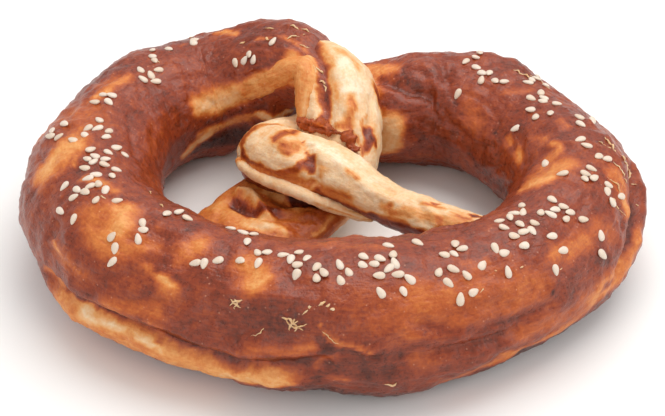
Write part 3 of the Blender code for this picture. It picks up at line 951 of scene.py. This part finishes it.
# %% Relief and paint of the right strand
RIGHT_SWELLS = (
    (-1.2, 2, 56, 60, 60, 40, 62, 15),
    (-0.8, 1.1, 50, 108, 55, 88, 58, 66, 59, 50),
    (-0.5, 1.4, 44, 12, 52, 8, 60, 4, 72, -2),
    (-0.5, 1.6, 66, 98, 74, 84, 82, 78),
    (0.5, 2, 62, 70, 72, 58, 84, 54),
    (-0.5, 1.2, 88, 96, 92, 60, 94, 30),
    (-0.4, 1, 94, 92, 97, 60, 99, 34),
    (0.4, 1.2, 90, 90, 95, 60),
)
RIGHT_LAPS = ((0.9, 4, 60, 4, 58, 30, 57, 52, 55, 76),)
RIGHT_GROUND = 0.87
RIGHT_STROKES = (
    # The bump
    (0.20, 5, 4, 42, -40, 60, -44, 90, -44),
    (0.48, 1.6, 1.6, 40, 100, 40, 60, 40, 40),
    (0.34, 0.9, 1.2, 40, 60, 40, 27, 42, 23),
    (0.20, 0.9, 1.2, 42, 19, 44, 11, 48, 10),
    (0.66, 0.6, 1.4, 45, 69),
    (0.72, 0.5, 1, 45, 92),
    (0.56, 2, 2, 50, 72, 51, 92),
    (0.34, 1.1, 1.2, 49, 72, 50, 91, 51, 114),
    (0.42, 1.3, 2, 53, 62),
    (0.28, 0.35, 0.8, 53, 63),
    (0.44, 0.5, 1, 53, 52, 54, 53),
    (0.60, 1, 1.6, 55, 79, 55, 62),
    (0.28, 0.8, 1.2, 49, 6, 53, 13, 56, 27, 58, 36),
    (0.46, 1.5, 1.6, 46, 0, 51, 2, 55, 8, 60, 6),
    # Where it passes under the left strand and comes out again
    (0.20, 0.35, 0.5, 55, 88, 57, 72, 58, 59),
    (0.22, 1.1, 0.8, 59, 52, 60, 30),
    (0.20, 0.8, 0.8, 58, 39, 59, 43),
    (0.55, 0.8, 1.5, 63, 43, 63, 27),
    (0.30, 0.25, 0.5, 49, 10, 53, 19, 56, 32, 57, 42),
    # The front strand
    # Bare core, brightened on top by a painted highlight
    (0.97, 2, 2, 58, 82, 63, 75, 67, 73),
    (0.48, 1.6, 2, 63, -4, 67, -3, 72, 8),
    (0.22, 0.7, 1.2, 62, -11, 67, -23, 72, -23, 76, -16, 81, -6),
    (0.54, 0.7, 1.2, 69, 62, 70, 63, 72, 62),
    (0.42, 0.4, 0.8, 72, 62),
    (0.16, 1.5, 1.6, 80, -13, 83, -7, 88, 3, 92, 4, 95, 1),
    (0.20, 1.6, 1.5, 84, -24, 92, -23, 98, -12),
    (0.57, 1.5, 2, 83, 34, 85, 26, 87, 36),
    (0.30, 0.4, 0.6, 84, 42),
    (0.52, 0.4, 1, 88, 53, 89, 32),
    (0.45, 0.5, 0.8, 92, 78, 94, 92),
    (0.30, 0.35, 0.6, 93, 95, 95, 101),
    (0.66, 2, 2, 101, 66, 103, 50),
    (0.50, 1.1, 1.8, 97, 52, 99, 36, 100, 45),
    (0.50, 0.3, 0.6, 99, 79, 101, 81, 103, 69),
    (0.45, 0.3, 0.6, 103, 71, 104, 92, 104, 112),
    (0.45, 0.8, 1.2, 96, 16, 99, 17, 103, 32),
    (0.64, 2, 2, 89, 46, 93, 48, 97, 51, 100, 61, 103, 76),
    (0.50, 0.5, 0.9, 91, 79, 94, 86, 97, 84),
    (0.46, 0.7, 1, 96, 56, 97, 36, 97, 21),
    (0.50, 0.8, 1.2, 84, 46, 84, 36),
    (0.50, 1.2, 1.4, 82, -3, 85, 7, 88, 13),
    (0.44, 0.6, 1, 101, 78, 104, 84),
    (0.74, 0.7, 1, 99, 92, 102, 96),
    (0.20, 1.4, 1.2, 88, -4, 91, -8, 96, -6),
    (0.08, 0.8, 0.9, 104, 100, 105, 108),
    # Its back, out of the photo
    (0.64, 1, 2, 64, 150, 78, 162),
    (0.46, 0.5, 1, 71, 154, 76, 158),
    (0.60, 1.4, 2.4, 88, 172, 98, 166),
)
right_skin = Skin(
    right_rope,
    lump=(1, 22),
    rough=(0.4, 5),
    crease=(0.3, 4),
    ground=RIGHT_GROUND,
    strokes=RIGHT_STROKES,
    swells=RIGHT_SWELLS,
    laps=RIGHT_LAPS,
)
right_strand = add_rope("right_strand", right_skin, STRAND_SIDES, STRAND_GRAIN)

# %% [markdown]
# ## The curled edge
#
# Below the front strand the edge of its torn wrap stands off and curls into a thin roll. A flat sheet could
# be bent over for it, but all that shows is the roll, so it is a thin rope again, with the pale inside of the
# wrap as its colour.

# %% Lay the curled edge
EDGE_SIDES = 24
EDGE_GROUND = 0.86
EDGE_STROKES = (
    (0.55, 1.6, 2, 0, 0, 3, 180),
    (0.66, 2, 4, 38, 60, 60, 60),
    (0.50, 1, 1.5, 30, 10, 46, 10),
    (0.40, 1.4, 2, 56, 60, 60, 60),
)
edge_skin = Skin(
    edge_rope, lump=(0.6, 9), rough=(0.3, 3), crease=NO_CREASE, ground=EDGE_GROUND, strokes=EDGE_STROKES
)
curled_edge = add_rope("curled_edge", edge_skin, EDGE_SIDES, STRAND_GRAIN)

# %% [markdown]
# ## The torn edge
#
# Above the front strand the wrap ends in a row of small rags. Each rag could be a sheet, but they are so
# small that only a rough, uneven line shows. So one thin, lumpy rope with a fine grain stands for them all.

# %% Lay the torn edge
TORN_SIDES = 40
TORN_GRAIN = 0.25
TORN_GROUND = 0.36
TORN_STROKES = (
    (0.52, 1, 1.5, 8, 60, 12, 80),
    (0.46, 0.6, 1, 16, 90),
    (0.18, 0.8, 1, 20, 40, 22, 120),
)
torn_skin = Skin(
    torn_rope, lump=(1.8, 3.2), rough=(1.2, 1.6), crease=NO_CREASE, ground=TORN_GROUND, strokes=TORN_STROKES
)
torn_edge = add_rope("torn_edge", torn_skin, TORN_SIDES, TORN_GRAIN)

# %% [markdown]
# ## Shreds and crumbs
#
# Where the wrap was rubbed or torn, pale shreds and crumbs of it stick up. Each is a short, thin, uneven
# thread laid on the skin. They could be hairs, but those would be dropped on export, so they are swept one
# by one too.

# %% Shreds on the ring and on the left strand: thickness, then the course
RING_SHREDS = (
    (0.5, -24, 38, -23, 42, -21, 44),
    (0.4, -24, 43, -23, 41, -21, 38),
    (0.4, -23, 44, -22, 41, -23, 36),
    (0.55, -11, 35, -10, 35, -9, 35, -8, 32, -7, 29),
    (0.5, -9, 26, -9, 30, -8, 33, -8, 36),
    (0.5, -9, 31, -8, 29, -7, 30, -6, 31, -5, 32),
    (0.4, -8, 26, -7, 29, -6, 27),
    (0.4, -10, 35, -9, 31, -7, 34),
    (0.8, -5, 44, -4, 45),
    (0.7, -3, 45, -2, 46, -1, 48),
    (0.5, -1, 45, 0, 47),
    (0.6, 0, 43, 1, 43),
    (0.35, -6, 39, -5, 42),
    (0.3, 35, 43, 36, 46),
    (0.4, 40, 56, 41, 56),
    (0.25, -18, 17, -16, 21, -15, 26),
    (0.3, 79, 62, 79, 52, 78, 43, 79, 31),
    (0.3, 87, 62, 86, 53, 85, 44),
    (0.25, 82, 64, 82, 53, 81, 46),
    (0.35, 129, 77, 126, 74, 123, 72),
    (0.3, 126, 65, 122, 63, 118, 69),
    (0.3, 92, 75, 91, 67, 90, 60),
    (0.35, -169, 104, -169, 97, -170, 90),
    (0.3, -170, 84, -170, 80),
    (0.35, -171, 103, -172, 96, -172, 91),
    (0.6, -166, 111, -167, 116),
    (0.35, -132, 94, -132, 98),
    (0.35, -161, 115, -162, 113),
    (0.4, -147, 60, -148, 62),
    (0.4, -69, 78, -67, 79),
    (0.35, -68, 121, -65, 117),
    (0.35, -57, 106, -55, 105),
    (0.35, 46, 52, 47, 53),
    (0.3, 55, 38, 56, 39),
    (0.3, -2, 29, 0, 23, 2, 19),
    (0.4, 12, -17, 14, -19, 15, -17),
    (0.45, 94, 68, 92, 64, 90, 60),
    (0.5, 90, 55, 89, 48),
    (0.5, 90, 46, 89, 42),
    (0.55, 88, 33, 88, 29),
    (0.5, 91, 36, 89, 35),
    (0.5, 85, 21, 85, 18),
    (0.45, -168, 84, -169, 80),
    (0.4, -166, 90, -165, 95),
    (0.4, -169, 77, -170, 72),
)
LEFT_SHREDS = (
    (0.4, 18, 57, 20, 60, 21, 63),
    (0.45, 23, 54, 23, 59, 24, 62),
    (0.45, 24, 60, 25, 63, 26, 62),
    (0.35, 17, 56, 18, 54),
)

# %% Sweep them
SHRED_SIDES = 6
SHRED_STEP = 0.25
SHRED_LEAST_ROWS = 4
SHRED_KINK, SHRED_KINK_SIZE = 0.35, 0.9
SHRED_TIP = 0.02
SHRED_LIFT = 0.6
SHRED_PALE = 0.86


def shred(skin, thick, course):
    """The points of one thin, kinked thread on a skin, pointed at both ends."""
    spots = np.array(laid(course, skin.place))
    steps = np.concatenate([[0], np.cumsum(np.linalg.norm(np.diff(spots, axis=0), axis=1))])
    rows = max(SHRED_LEAST_ROWS, round(steps[-1] / SHRED_STEP))
    along, round_it = (np.interp(np.linspace(0, steps[-1], rows), steps, column) for column in spots.T)
    middle, out, _ = skin.points(along, np.degrees(round_it / skin.radius))
    kinks = noise_at(middle, SHRED_KINK_SIZE, noise.noise_vector)
    middle = middle + SHRED_KINK * kinks
    forward = unit(np.gradient(middle, axis=0))
    side = unit(np.cross(forward, out))
    taper = np.sqrt(np.sin(np.pi * np.linspace(SHRED_TIP, 1 - SHRED_TIP, rows)))
    size = thick / 2 * taper * (1 + kinks[:, 0])
    turns = np.linspace(0, math.tau, SHRED_SIDES, endpoint=False)[None, :, None]
    middle = middle + out * size[:, None] * SHRED_LIFT
    ring_of = np.cos(turns) * side[:, None] + np.sin(turns) * out[:, None]
    return middle[:, None] + ring_of * size[:, None, None]


def add_shreds():
    points, faces = [], []
    start = 0
    for skin, rows in ((ring_skin, RING_SHREDS), (left_skin, LEFT_SHREDS)):
        for thick, *course in rows:
            made = shred(skin, thick, course)
            for face in tube_faces(len(made), SHRED_SIDES):
                faces.append(tuple(start + corner for corner in face))
            points.append(made.reshape(-1, 3))
            start += len(points[-1])
    piece = add_mesh("shreds", np.vstack(points), faces)
    add_attribute(piece, "shade", np.full(start, SHRED_PALE))
    piece.data.uv_layers.new(name="unrolled")
    print("shreds", start, "points")
    return piece


shreds = add_shreds()

# %% [markdown]
# ## Wrap and core in one material
#
# The painted number picks a colour from a ramp, with noise of several sizes on top of it: blotches, mottling
# and fine fibres that run with the rope. The wrap is glossier than the dry core, so the same number sets
# roughness. The colours could be a painted picture laid on the unrolled skin, but noise stays sharp close up.

# %% Sums, noise, mixed colours and bumps
SPECKLE_LOOK = {"Detail": 3, "Roughness": 0.6}


def sum_of(tree, first, second, factor=1):
    """first + second times factor."""
    inputs = {0: second, 1: factor, 2: first}
    return add_node(tree, "ShaderNodeMath", inputs, operation="MULTIPLY_ADD").outputs[0]


def speckle(tree, place, size):
    """Noise between 0 and 1 with a mean of a half. The size is in the units of the place."""
    inputs = {"Vector": place, "Scale": 1 / size, **SPECKLE_LOOK}
    return add_node(tree, "ShaderNodeTexNoise", inputs).outputs[0]


def blend(tree, share, first, second):
    """The first colour, giving way to the second by that share."""
    inputs = {"Factor": share, 6: first, 7: second}
    return add_node(tree, "ShaderNodeMix", inputs, data_type="RGBA").outputs[2]


def bump(tree, height, strength, distance):
    inputs = {"Height": height, "Strength": strength, "Distance": distance}
    return add_node(tree, "ShaderNodeBump", inputs).outputs[0]


def point_number(tree, name):
    """A number that the mesh carries on its points."""
    return add_node(tree, "ShaderNodeAttribute", {}, attribute_name=name).outputs["Fac"]


# %% Colours of the wrap, from creases in painted shade to bare core
WRAP_AND_SHADE_COLOURS = (
    # The two darkest stops are painted shade, for creases, gaps and the belly underneath.
    (0.00, seen(56, 20, 12)),
    (0.12, seen(94, 36, 17)),
    (0.25, seen(137, 54, 24)),
    (0.40, seen(176, 83, 31)),
    (0.55, seen(208, 120, 52)),
    (0.68, seen(226, 158, 90)),
    (0.80, seen(231, 183, 132)),
    (0.92, seen(237, 205, 164)),
    (1.00, seen(242, 222, 192)),
)


def wrap_ramp(tree, shade):
    ramp = add_node(tree, "ShaderNodeValToRGB", {"Fac": shade})
    stops = ramp.color_ramp.elements
    for place, _ in WRAP_AND_SHADE_COLOURS[1:-1]:
        stops.new(place)
    for stop, (place, colour) in zip(stops, WRAP_AND_SHADE_COLOURS):
        stop.position = place
        stop.color = colour
    return ramp.outputs["Color"]


# %% Fibres and specks
FIBRE_ACROSS = 0.7 / UNROLLED_UNIT
FIBRE_STRETCH = 4
SPECK_SIZE, SPECK_SPREAD = 0.32 * MM, 2.4 * MM


def fibres(tree):
    place = add_node(tree, "ShaderNodeUVMap", {}, uv_map="unrolled").outputs[0]
    squeezed = add_node(tree, "ShaderNodeMapping", {"Vector": place, "Scale": (1 / FIBRE_STRETCH, 1, 1)})
    return speckle(tree, squeezed.outputs[0], FIBRE_ACROSS)


def specks(tree, place):
    """1 in small dots that lie a few sizes apart, 0 elsewhere."""
    cells = add_node(tree, "ShaderNodeTexVoronoi", {"Vector": place, "Scale": 1 / SPECK_SPREAD})
    inputs = {"Value": cells.outputs["Distance"], "From Min": SPECK_SIZE / SPECK_SPREAD, "From Max": 0}
    return add_node(tree, "ShaderNodeMapRange", inputs, interpolation_type="SMOOTHSTEP").outputs[0]


# %% The whole material
BLOTCH, MOTTLE, GRAIN = 11 * MM, 3.2 * MM, 0.9 * MM
BLOTCH_SHARE, MOTTLE_SHARE, GRAIN_SHARE, FIBRE_SHARE = 0.26, 0.26, 0.24, 0.20
SPECK_COLOUR = seen(228, 170, 140)
SPECK_STRENGTH = 0.45
ROUGHNESS = {"From Min": 0.2, "To Min": 0.31, "From Max": 0.9, "To Max": 0.55}
ROUGHNESS_GRAIN = 0.3
GRAIN_HEIGHT, FIBRE_HEIGHT = 0.5, 0.25
WRAP_BUMP, WRAP_BUMP_HEIGHT = 0.7, 0.5 * MM
WRAP_LOOK = {
    "Specular IOR Level": 0.4,
    "Subsurface Weight": 0.1,
    "Subsurface Radius": (2, 0.8, 0.4),
    "Subsurface Scale": 1 * MM,
}


def wrap_material():
    material, tree, shader = new_material("wrap_and_core")
    place = add_node(tree, "ShaderNodeTexCoord", {}).outputs["Object"]
    blotch, mottle, grain = (speckle(tree, place, size) for size in (BLOTCH, MOTTLE, GRAIN))
    thread = fibres(tree)
    shares = ((blotch, BLOTCH_SHARE), (mottle, MOTTLE_SHARE), (grain, GRAIN_SHARE), (thread, FIBRE_SHARE))
    mixed = point_number(tree, "shade")
    for source, share in shares:
        mixed = sum_of(tree, mixed, source, share)
    # Each source is a half on average, so half of all shares is taken off again.
    mixed = sum_of(tree, mixed, -sum(share for _, share in shares) / 2)
    speck = sum_of(tree, 0, specks(tree, place), SPECK_STRENGTH)
    roughness = add_node(tree, "ShaderNodeMapRange", {"Value": mixed, **ROUGHNESS}).outputs[0]
    height = sum_of(tree, sum_of(tree, mottle, grain, GRAIN_HEIGHT), thread, FIBRE_HEIGHT)
    feed(tree, shader, WRAP_LOOK)
    feed(tree, shader, {
        "Base Color": blend(tree, speck, wrap_ramp(tree, mixed), SPECK_COLOUR),
        "Roughness": sum_of(tree, roughness, sum_of(tree, -0.5, grain), ROUGHNESS_GRAIN),
        "Normal": bump(tree, height, WRAP_BUMP, WRAP_BUMP_HEIGHT),
    })
    return material


wrap = wrap_material()
for piece in (ring, left_strand, right_strand, band_fold, curled_edge, torn_edge, shreds):
    piece.data.materials.append(wrap)
print("the wrap's material has", len(wrap.node_tree.nodes), "nodes")

# %% [markdown]
# ## Sesame seeds
#
# A hulled sesame seed is a flat drop, 3.3 mm long. They were strewn by hand, so they lie in clusters, at any
# heading, pressed a little into the sticky wrap. Particles would be dropped on export, so each seed is worked
# out in a loop and all of them are one joined mesh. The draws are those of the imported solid, so seeds stay in
# place.

# %% Clusters: ring angle, turn, number, spread along, spread round
SEED_SIZE = (3.0, 1.9)
SEED_STANDS_OUT = 0.65
SEED_SUNK = 0.35
SMALLEST_SEED, LARGEST_SEED = 0.9, 1.1
SEED_GAP = 1.9
SEED_DRAW = 7
SEED_TRIES = 40
CLUSTERS = (
    (-163, 137, 4, 2.5, 2),
    (-168, 116, 1, 0.5, 0.5),
    (-146, 91, 2, 1.5, 1.5),
    (-136, 76, 2, 4, 1.5),
    (-131, 92, 3, 3, 3),
    (-125, 102, 4, 2.5, 2.5),
    (-114, 104, 1, 1, 2),
    (-110, 88, 3, 2, 2),
    (-99, 90, 3, 2, 2.5),
    (-98, 73, 5, 3.5, 4),
    (-96, 106, 2, 1.5, 2.5),
    (-91, 119, 3, 2, 1.5),
    (-84, 98, 6, 2.5, 2.5),
    (-81, 88, 3, 3, 1.2),
    (-78, 108, 2, 1.5, 2.5),
    (-77, 57, 3, 3, 2),
    (-74, 71, 5, 3, 2.2),
    (-71, 83, 4, 2.5, 1.5),
    (-59, 63, 1, 1, 1),
    (-56, 50, 2, 0.8, 0.8),
    (-55, 75, 3, 2, 1.5),
    (-52, 90, 1, 2, 2),
    (-52, 108, 2, 2, 1),
    (-36, 116, 3, 9, 1),
    (-34, 70, 3, 2, 1),
    (-22, 60, 2, 2.5, 3),
    (-21, 91, 3, 2, 1.5),
    (-12, 79, 5, 1.8, 3),
    (-4, 74, 4, 1.2, 4),
    (8, 71, 5, 2.5, 2),
    (12, 67, 4, 2, 3),
    (14, 81, 4, 2, 2),
    (18, 64, 2, 1.2, 1.5),
    (24, 103, 2, 3, 1.5),
    (29, 60, 7, 2, 2.5),
    (33, 82, 3, 2.5, 2.5),
    (41, 70, 4, 3, 2),
    (49, 72, 4, 3, 2),
    (50, 98, 2, 2.5, 3),
    (53, 38, 1, 0.5, 0.5),
    (56, 93, 5, 3, 3.5),
    (58, 57, 2, 1.5, 2.5),
    (65, 79, 8, 4.5, 2.5),
    (70, 54, 3, 3, 3),
    (78, 71, 6, 2.5, 3),
    (79, 48, 3, 1.5, 3.5),
    (86, 68, 2, 1.2, 2),
    (85, 120, 1, 0.5, 0.5),
    (91, 90, 2, 2, 2),
    (100, 80, 3, 3, 2),
    (108, 125, 2, 1.5, 3),
    (110, 100, 4, 2.5, 2.5),
    (116, 95, 3, 1.2, 2),
    (126, 85, 4, 2.5, 3.5),
    (124, 64, 3, 3, 1.5),
    (133, 108, 2, 1, 1.5),
    (137, 97, 2, 2.5, 1),
    (137, 130, 1, 0.5, 0.5),
    (140, 80, 3, 3, 3.5),
)


def seed_spots():
    draw = random.Random(SEED_DRAW)
    spots = []
    for angle, turned, number, spread_along, spread_round in CLUSTERS:
        centre = on_ring(angle, turned)
        for _ in range(number):
            for _ in range(SEED_TRIES):
                spot = centre + (draw.gauss(0, spread_along), draw.gauss(0, spread_round))
                if all(np.linalg.norm(spot - other) > SEED_GAP for other in spots):
                    spots.append(spot)
                    break
    return spots


print(len(seed_spots()), "seeds")

# %% Shape one seed
SEED_ROWS = 9
SEED_ROUND = 12
SEED_TAPER = 0.28


def seed_shape():
    """A flat drop that points to -X: rows of points from tip to blunt end, without the two poles."""
    lift = (SEED_STANDS_OUT - SEED_SUNK) / 2
    half_height = (SEED_STANDS_OUT + SEED_SUNK) / 2
    rows = []
    for row in range(1, SEED_ROWS):
        a = math.pi * row / SEED_ROWS
        along = -math.cos(a) / 2
        wide = math.sin(a) / 2 * (1 - SEED_TAPER * math.cos(a))
        for side in range(SEED_ROUND):
            b = math.tau * side / SEED_ROUND
            rows.append((along, wide * math.cos(b), 2 * wide * math.sin(b)))
    ends = [(-0.5, 0, 0), (0.5, 0, 0)]
    return np.array(rows + ends) * (*SEED_SIZE, half_height) + (0, 0, lift)


def seed_faces(start):
    """Quads of one seed and the fans at its two poles, with its points starting at that number."""
    faces = []
    for row in range(SEED_ROWS - 2):
        for side in range(SEED_ROUND):
            after = (side + 1) % SEED_ROUND
            near, far = start + row * SEED_ROUND, start + (row + 1) * SEED_ROUND
            faces.append((near + side, near + after, far + after, far + side))
    tip = start + (SEED_ROWS - 1) * SEED_ROUND
    last = start + (SEED_ROWS - 2) * SEED_ROUND
    for side in range(SEED_ROUND):
        after = (side + 1) % SEED_ROUND
        faces.append((start + after, start + side, tip))
        faces.append((last + side, last + after, tip + 1))
    return faces


# %% Strew them
SEED_TILT = 0.16


def add_seeds():
    draw = random.Random(SEED_DRAW)
    tilt = random.Random(SEED_DRAW + 1)
    shape = seed_shape()
    points, faces, tones = [], [], []
    for spot in seed_spots():
        turn = math.degrees(spot[1] / RING_RADIUS)
        point, normal, _ = ring_skin.points(np.array([spot[0]]), np.array([turn]))
        point, normal = point[0], normal[0]
        heading = draw.uniform(0, math.tau)
        forward = unit(np.cross(normal, (math.cos(heading), math.sin(heading), 0)))
        length = draw.uniform(SMALLEST_SEED, LARGEST_SEED)
        width = draw.uniform(SMALLEST_SEED, LARGEST_SEED)
        lean = unit(normal + forward * tilt.gauss(0, SEED_TILT))
        across = unit(np.cross(lean, forward))
        axes = np.array([np.cross(across, lean) * length, across * width, lean])
        faces += seed_faces(len(points) * len(shape))
        points.append(point + shape @ axes)
        tones.append(np.full(len(shape), tilt.random()))
    seeds = add_mesh("sesame_seeds", np.array(points), faces)
    add_attribute(seeds, "tone", tones)
    return seeds


seeds = add_seeds()
print("seeds:", sum(len(face.vertices) - 2 for face in seeds.data.polygons), "triangles")

# %% Skin of a seed
SEED_PALE = seen(225, 210, 194)
SEED_TAN = seen(206, 180, 152)
SEED_MOTTLE = 0.8 * MM
TAN_FROM, TAN_BY_MOTTLE, TAN_BY_SEED = -0.25, 0.6, 0.5
SEED_BUMP, SEED_BUMP_HEIGHT = 0.4, 0.15 * MM
SEED_LOOK = {
    "Roughness": 0.42,
    "Subsurface Weight": 0.15,
    "Subsurface Radius": (1, 0.8, 0.5),
    "Subsurface Scale": 0.8 * MM,
}


def seed_material():
    material, tree, shader = new_material("sesame")
    mottle = speckle(tree, add_node(tree, "ShaderNodeTexCoord", {}).outputs["Object"], SEED_MOTTLE)
    tan = sum_of(tree, sum_of(tree, TAN_FROM, mottle, TAN_BY_MOTTLE), point_number(tree, "tone"), TAN_BY_SEED)
    feed(tree, shader, SEED_LOOK)
    feed(tree, shader, {
        "Base Color": blend(tree, tan, SEED_PALE, SEED_TAN),
        "Normal": bump(tree, mottle, SEED_BUMP, SEED_BUMP_HEIGHT),
    })
    return material


seeds.data.materials.append(seed_material())

# %% [markdown]
# ## Hand over
#
# Every piece rides on the one body and stands for the imported solid, which is then hidden. The solid could
# show through in places instead, but its facets would be seen.

# %% Ride and replace
for piece, slot in (
    (ring, "crust"),
    (left_strand, "crust"),
    (right_strand, "crust"),
    (curled_edge, "crust"),
    (band_fold, "crust"),
    (torn_edge, "crust"),
    (shreds, "crust"),
    (seeds, "seed"),
):
    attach(piece, "root")
    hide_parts("pretzel")
